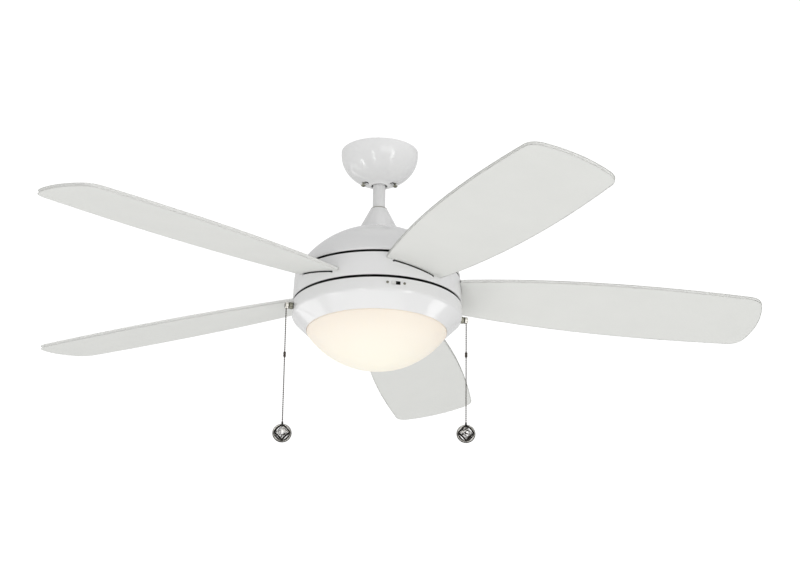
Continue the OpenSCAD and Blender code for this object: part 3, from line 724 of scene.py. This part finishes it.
band = lathe("blade_band", fillet([
    (RING_R - 4.3, RING_TOP_Z, 0.4), (RING_R - 2, RING_TOP_Z, 0.7), (RING_R, RING_BOTTOM_Z, 0.7),
    (RING_R - 2.3, RING_BOTTOM_Z, 0.4), (RING_R - 2.4, WEB_TOP_Z - WEB_THICK, 0),
    (TROUGH_R - WEB_THICK, WEB_TOP_Z - WEB_THICK, 0.8), (TROUGH_R - WEB_THICK, ROTOR_COVER_Z - WEB_THICK, 0.8),
    (WEB_HOLE_R, ROTOR_COVER_Z - WEB_THICK, 0.4), (WEB_HOLE_R, ROTOR_COVER_Z, 0.4),
    (TROUGH_R, ROTOR_COVER_Z, 0.8), (TROUGH_R, WEB_TOP_Z, 0.8), (RING_R - 2.6, WEB_TOP_Z, 0.5)], 4),
    "gloss", 256)
tools = []
for k in range(BLADES):
    slot = block("slot", (134, -SLOT_HALF, -SLOT_BELOW), (152, SLOT_HALF, SLOT_TOP), "gloss")
    tools.append(moved(slot, blade_place(k)))
    for y in (-SLOT_HALF, SLOT_HALF):
        relief = along_x(rod("slot_end", RELIEF_R, 134, 152, "gloss", 0, 16))
        tools.append(moved(relief, blade_place(k) @ at(0, y, RELIEF_Z)))
cut(band, tools, 0.3)
# The band's inside is painted near black: painted shade in its gaps and blade slots.
paint_shade_inside(band, lambda r, z, out, up: r < RING_R - 3.2 or out < -0.3)
parts = [band]
for k in range(BLADES):
    top = [blade_place(k) @ Vector((x * MM, y * MM, BLADE_THICK * MM)) for x, y in PAD_CORNERS]
    verts = [v / MM for v in top] + [(v.x / MM, v.y / MM, WEB_TOP_Z - 0.5) for v in top]
    faces = [(0, 1, 2, 3), (7, 6, 5, 4), (0, 4, 5, 1), (1, 5, 6, 2), (2, 6, 7, 3), (3, 7, 4, 0)]
    pad = make("pad", verts, faces, "gloss")
    for face in pad.data.polygons:
        face.material_index = 1  # the band's painted shade, once they are joined: the pads behind the slots are painted dark so that the slots look shaded
    parts.append(pad)
piece(join("blade_band_ring", parts), "rotor", "white_paint", "blade_ring")


# ---------------------------------------------------------------- blades with their plates and screws

def half_width(u):
    """Half a blade's width at a distance from the axis: narrow at the root, widest near three quarters."""
    s = (u - 400) / 250
    return 77.3 + 8.1 * s - 16 * s * s + 2.25 * s ** 3


def tip_at(v):
    """How far out the blade's end is at a distance across it."""
    return BLADE_TIP - v * v / (2 * TIP_BOW)


def blade_side():
    """One side of a blade's outline, from the middle of its root round to the middle of its end."""
    root = RING_R + ROOT_GAP
    edge = half_width(BLADE_TIP - 14)
    corner = ((TIP_CORNER_START, half_width(TIP_CORNER_START)), (tip_at(edge), edge),
              (tip_at(TIP_CORNER_END), TIP_CORNER_END))
    side = [(math.sqrt(root * root - v * v), v) for v in range(0, 49, 6)]
    side += [(u, half_width(u)) for u in range(142, int(TIP_CORNER_START) - 4, 9)]
    for k in range(17):
        t = k / 16
        side.append(tuple((1 - t) ** 2 * p + 2 * t * (1 - t) * q + t * t * r for p, q, r in zip(*corner)))
    side += [(tip_at(v), v) for v in range(48, 0, -6)]
    return side


def blade_mesh():
    """A flat board with rounded edges, in the blade's own frame, its edge painted lighter than its faces as a
    painted highlight.
    """
    side = blade_side()
    outline = side + [(BLADE_TIP, 0)] + [(u, -v) for u, v in side[:0:-1]]
    n = len(outline)
    inward = []
    for i in range(n):
        p, q = Vector(outline[i - 1]), Vector(outline[(i + 1) % n])
        t = (q - p).normalized()
        inward.append(Vector((-t.y, t.x)))
    edge, rim = 1.3, 1.2
    layers = [(edge + rim, 0)]  # how far in from the outline, and how high
    for a in (0, 22.5, 45, 67.5, 90):
        layers.append((edge * (1 - math.sin(math.radians(a))), edge * (1 - math.cos(math.radians(a)))))
    layers += [(d, BLADE_THICK - z) for d, z in layers[::-1]]
    verts = []
    for d, z in layers:
        verts += [(*(Vector(p) + w * d), z) for p, w in zip(outline, inward)]
    faces = [tuple(range(n)), tuple(range((len(layers) - 1) * n, len(layers) * n))]
    for j in range(len(layers) - 1):
        faces += [(j * n + i, (j + 1) * n + i, (j + 1) * n + (i + 1) % n, j * n + (i + 1) % n)
                  for i in range(n)]
    return paint(make("board", verts, faces, "blade"), "blade_edge",
                 lambda x, y, z: 0.1 < z < BLADE_THICK - 0.1)


board = blade_mesh()
for k in range(BLADES):
    blade = bpy.data.objects.new("blade_board_%d" % (k + 1), board.data.copy())
    SCENE.collection.objects.link(blade)
    moved(blade, blade_place(k))
    piece(blade, "rotor", "white_blade", "blade_%d" % (k + 1))
bpy.data.objects.remove(board)

SEAT_Z = BLADE_THICK + PLATE_THICK  # the plate's upper face, in the blade's frame


def plate_screw(place, radius, height, shank_r, shank_low, turn):
    """A screw on a blade plate, in the blade's frame: its head and its shank, each screw turned its own way."""
    head = screw_head("head", radius, height, "zinc")
    shank = rod("shank", shank_r, shank_low, SEAT_Z + 0.2, "zinc", 0.3, 20)
    return [moved(head, place @ at(0, 0, SEAT_Z, turn)), moved(shank, place)]


blade_screws, plate_screws = [], []
for k in range(BLADES):
    for x, y in PLATE_HOLES:
        blade_screws += plate_screw(blade_place(k) @ at(x, y, 0), 4.4, 2.4, 2.0, 1.4, 17 * (x + y))
    for x, y in PAD_HOLES:
        plate_screws += plate_screw(blade_place(k) @ at(x, y, 0), 4.8, 2.6, 2.4, -6, 31 * y)
piece(join("blade_screw_set", blade_screws), "rotor", "zinc_steel", "blade_screws")
piece(join("plate_screw_set", plate_screws), "rotor", "zinc_steel", "plate_screws")


# ---------------------------------------------------------------- light housing

INNER_R = PAN_R - SHEET
pan = lathe("light_housing", fillet([
    (PAN_HOLE_R, PAN_TOP_Z, 0.3), (PAN_R, PAN_TOP_Z, 1.1), (PAN_R, PAN_BEND_Z, 9.0), (MOUTH_R, MOUTH_Z, 0.7),
    (MOUTH_R - 0.6, MOUTH_Z + 1.7, 0.3), (MOUTH_R + 4.5, SHELF_Z - SHEET, 0),
    (MOUTH_R - 0.4, SHELF_Z - SHEET, 0.3), (MOUTH_R - 0.4, SHELF_Z, 0.3), (MOUTH_R + 6, SHELF_Z, 0),
    (INNER_R, PAN_BEND_Z + 0.8, 3.0), (INNER_R, PAN_TOP_Z - SHEET, 0.5),
    (PAN_HOLE_R, PAN_TOP_Z - SHEET, 0.3)], 9), "gloss", 288)
tools = [along_x(rod("hole", 5.0, 130, 150, "gloss"), azimuth, CHAIN_LEVEL_Z)
         for azimuth in (CHAIN_AZIMUTH, 180 + CHAIN_AZIMUTH)]
switch_place = turned(SWITCH_AZIMUTH) @ at(0, 0, SWITCH_Z)
tools.append(moved(block("hole", (135, -7.4, -3), (147, 7.4, 3), "gloss"), switch_place))
for side in (-1, 1):
    hole = along_x(rod("hole", 1.5, 135, 147, "gloss", 0, 24))
    tools.append(moved(hole, switch_place @ at(0, SWITCH_SCREW_Y * side, 0)))
for i in range(3):
    hole = rod("hole", 2.1, PAN_TOP_Z - 5, PAN_TOP_Z + 7, "gloss", 0, 24)
    tools.append(moved(hole, turned(30 + 120 * i) @ at(64, 0, 0)))
for i in range(3):
    notch = block("hole", (MOUTH_R - 2, -7, SHELF_Z - 1.6), (MOUTH_R + 4.8, 7, SHELF_Z + 0.2), "gloss")
    tools.append(moved(notch, turned(115 + 120 * i)))
# The housing's top face under the band is painted near black: painted shade in the gap between band and
# housing.
paint_shade_inside(cut(pan, tools, 0.15),
            lambda r, z, out, up: up > 0.9 and z > PAN_TOP_Z - 1 and r < PAN_R - 3)
piece(pan, "motor", "white_paint", "light_pan")

knob = block("knob", (134.4, -6.9, -2.4), (143.7, -0.3, 2.4), "knob", 0.5, 3)
tools = [block("groove", (142.9, y - 0.35, -3), (145, y + 0.35, 3), "knob") for y in (-5.6, -3.6, -1.6)]
piece(moved(cut(knob, tools), switch_place), "reverse", "white_knob", "reverse_knob")

parts = []
for side in (-1, 1):
    head = along_x(screw_head("head", 2.3, 1.2))
    parts.append(moved(head, switch_place @ at(142.6, SWITCH_SCREW_Y * side, 0)))
    shank = along_x(rod("shank", 1.45, 138.6, 142.8, "dull_nickel", 0.2, 20))
    parts.append(moved(shank, switch_place @ at(0, SWITCH_SCREW_Y * side, 0)))
piece(join("switch_screw_pair", parts), "motor", "nickel", "reverse_switch_screws")


# ---------------------------------------------------------------- chain nipples

NIPPLE_NECK_R, NIPPLE_R = 4.8, 5.9
GROOVES = 20


def nipple(azimuth):
    """A plain neck, a grooved collar and a round cap, bored straight down for the chain."""
    body = lathe("nipple", fillet([
        (0, 134.8, 0), (NIPPLE_NECK_R, 134.8, 0.4), (NIPPLE_NECK_R, 143.1, 0.1), (5.3, 143.1, 0.3),
        (NIPPLE_R, 144.4, 0.4), (NIPPLE_R, 148.6, 0.4), (5.3, 149.9, 0.3), (NIPPLE_NECK_R, 149.9, 0.1),
        (NIPPLE_NECK_R, 150.4, 0.1), (5.2, 150.4, 0.4), (NIPPLE_R, 151.5, 0.5), (NIPPLE_R, 155.4, 1.5),
        (4.3, 156.9, 1.2), (0, 156.9, 0)], 4), "nickel", 96)
    along_x(body)
    tools = [moved(rod("bore", 1.7, -8, 4.7, "nickel", 0, 32), at(CHAIN_R, 0, 0))]
    for i in range(GROOVES):
        groove = block("groove", (144.9, -0.25, NIPPLE_R - 0.35), (148.2, 0.25, 7), "nickel")
        tools.append(moved(groove, Matrix.Rotation(math.radians(360 / GROOVES * i + 4), 4, "X")))
    cut(body, tools)
    # The neck, the gap between collar and cap, and the cap's end are painted darker nickel.
    paint(body, "darker_nickel", lambda x, y, z: x < 144.3 or 149.6 < x < 151.0 or x > 156.4)
    # The collar is painted darker than the cap: painted shade, for the duller reflection it shows.
    paint(body, "dull_nickel", lambda x, y, z: 144.3 <= x <= 149.6)
    return moved(body, turned(azimuth) @ at(0, 0, CHAIN_LEVEL_Z))


pair = [nipple(CHAIN_AZIMUTH), nipple(180 + CHAIN_AZIMUTH)]
piece(join("nipple_pair", pair), "motor", "nickel", "chain_nipples")


# ---------------------------------------------------------------- glass bowl

neck_z = BOWL_CENTRE_Z - math.sqrt(BOWL_SPHERE_R ** 2 - NECK_R ** 2)
glass_top_z = SHELF_Z + 0.1
outside = arc(BOWL_SPHERE_R, BOWL_CENTRE_Z, 0.0, NECK_R, 56, -1)
inside = arc(BOWL_SPHERE_R - GLASS_THICK, BOWL_CENTRE_Z, 0.0, NECK_R - GLASS_THICK, 56, -1)
neck = [(NECK_R, neck_z, 2.0), (NECK_R, glass_top_z, 0.8), (NECK_R - GLASS_THICK, glass_top_z, 0.8)]
bowl = lathe("opal_bowl", fillet(outside[:-1] + neck + inside[::-1], 4), "opal", 224)
piece(bowl, "bowl", "opal_glass", "glass_bowl")


# ---------------------------------------------------------------- finishes of the CAD nodes that stay

STAYS = {
    "gloss": ["downrod", "lamp_plate"],
    "zinc": ["hanger_bracket", "hanger_pin", "set_screws", "yoke_pin", "motor_shaft", "housing_screws",
             "switch_plate", "pan_screws", "bearing_inner_races", "bearing_outer_races", "bearing_balls",
             "bowl_collar", "motor_yoke", "hanger_ball"] + ["blade_plate_%d" % (k + 1) for k in range(BLADES)],
    "chain": ["fan_chain_stub", "light_chain_stub"],
    "black": ["reverse_switch", "pull_switches", "capacitor", "supply_wires"],
    "nylon": ["hanger_seat"],
    "cast": ["rotor_upper_cover", "rotor_lower_cover"],
    "lamination": ["stator_core", "rotor_core"],
    "copper": ["stator_windings"],
    "porcelain": ["lamp_sockets"],
    "lamp": ["lamp_bulbs"],
}
for finish, nodes in STAYS.items():
    for node in nodes:
        ob = frame["nodes"][node]
        if not ob.data.materials:
            ob.data.materials.append(None)
        for place in ob.material_slots:
            place.link = "OBJECT"
            place.material = FINISH[finish]


# ---------------------------------------------------------------- floor, lights and background

SCENE.view_settings.view_transform = "Standard"
SCENE.view_settings.look = "None"

FLOOR_Z, FLOOR_HALF = -7.6, 150.0  # metres
floor_paint = Nodes("pale_floor")
floor_colour = floor_paint.ramp(floor_paint.noise(0.7, 4.0), (0.3, (0.87, 0.87, 0.87)),
                                (0.7, (0.89, 0.89, 0.89)))
floor_paint.link(floor_colour, floor_paint.shader.inputs["Base Color"])
floor_paint.shader.inputs["Roughness"].default_value = 0.9
mesh = bpy.data.meshes.new("floor")
corners = [(x * FLOOR_HALF, y * FLOOR_HALF, FLOOR_Z) for x, y in ((-1, -1), (1, -1), (1, 1), (-1, 1))]
mesh.from_pydata(corners, [], [(0, 1, 2, 3)])
mesh.materials.append(floor_paint.material)
floor = bpy.data.objects.new("floor", mesh)
SCENE.collection.objects.link(floor)

# The studio's light comes from a nearly even grey, and the camera sees a white wall behind the fan
world = bpy.data.worlds.new("studio")
SCENE.world = world
world.use_nodes = True
tree = world.node_tree
studio = tree.nodes["Background"]
coord = tree.nodes.new("ShaderNodeTexCoord")
split = tree.nodes.new("ShaderNodeSeparateXYZ")
ramp = tree.nodes.new("ShaderNodeValToRGB")
stops = ramp.color_ramp.elements
stops[0].position, stops[0].color = 0.35, (0.66, 0.66, 0.66, 1.0)
stops[1].position, stops[1].color = 0.95, (0.62, 0.62, 0.63, 1.0)
backdrop = tree.nodes.new("ShaderNodeBackground")
path = tree.nodes.new("ShaderNodeLightPath")
choose = tree.nodes.new("ShaderNodeMixShader")
tree.links.new(coord.outputs["Generated"], split.inputs["Vector"])
tree.links.new(split.outputs["Z"], ramp.inputs["Fac"])
tree.links.new(ramp.outputs["Color"], studio.inputs["Color"])
backdrop.inputs["Color"].default_value = (1.0, 1.0, 1.0, 1.0)
backdrop.inputs["Strength"].default_value = 1.1
tree.links.new(path.outputs["Is Camera Ray"], choose.inputs["Fac"])
tree.links.new(studio.outputs["Background"], choose.inputs[1])
tree.links.new(backdrop.outputs["Background"], choose.inputs[2])
tree.links.new(choose.outputs["Shader"], tree.nodes["World Output"].inputs["Surface"])


LIT_POINT = Vector((0, 0, -0.27))  # metres: inside the turning band, where every light points


def softbox(name, place, size, power):
    """A rectangular area light that the camera doesn't see, measured in metres and watts."""
    data = bpy.data.lights.new(name, "AREA")
    data.shape = "RECTANGLE"
    data.size, data.size_y = size
    data.energy = power
    ob = bpy.data.objects.new(name, data)
    SCENE.collection.objects.link(ob)
    ob.location = place
    ob.rotation_mode = "QUATERNION"
    ob.rotation_quaternion = (LIT_POINT - Vector(place)).to_track_quat("-Z", "Y")
    ob.visible_camera = False


# Broad boxes for even light, and strips for the highlights on the canopy and the light housing
softbox("under_box", (-0.4, 0.3, -5.2), (6.0, 6.0), 70.0)
softbox("front_box", (2.4, -6.5, -1.2), (5.0, 3.0), 54.0)
softbox("top_box", (1.0, -2.2, 3.6), (3.0, 3.0), 18.0)
softbox("left_back_box", (-2.8, 2.0, -2.1), (2.2, 2.2), 18.0)
softbox("right_back_box", (3.0, 1.0, -2.7), (1.1, 1.1), 8.0)
softbox("left_strip", (-0.95, -2.25, -1.8), (0.2, 2.4), 6.5)
softbox("right_strip", (1.7, -1.85, -1.6), (0.36, 2.2), 10.0)
softbox("left_low_strip", (-2.67, -0.82, -2.7), (0.5, 1.3), 11.0)
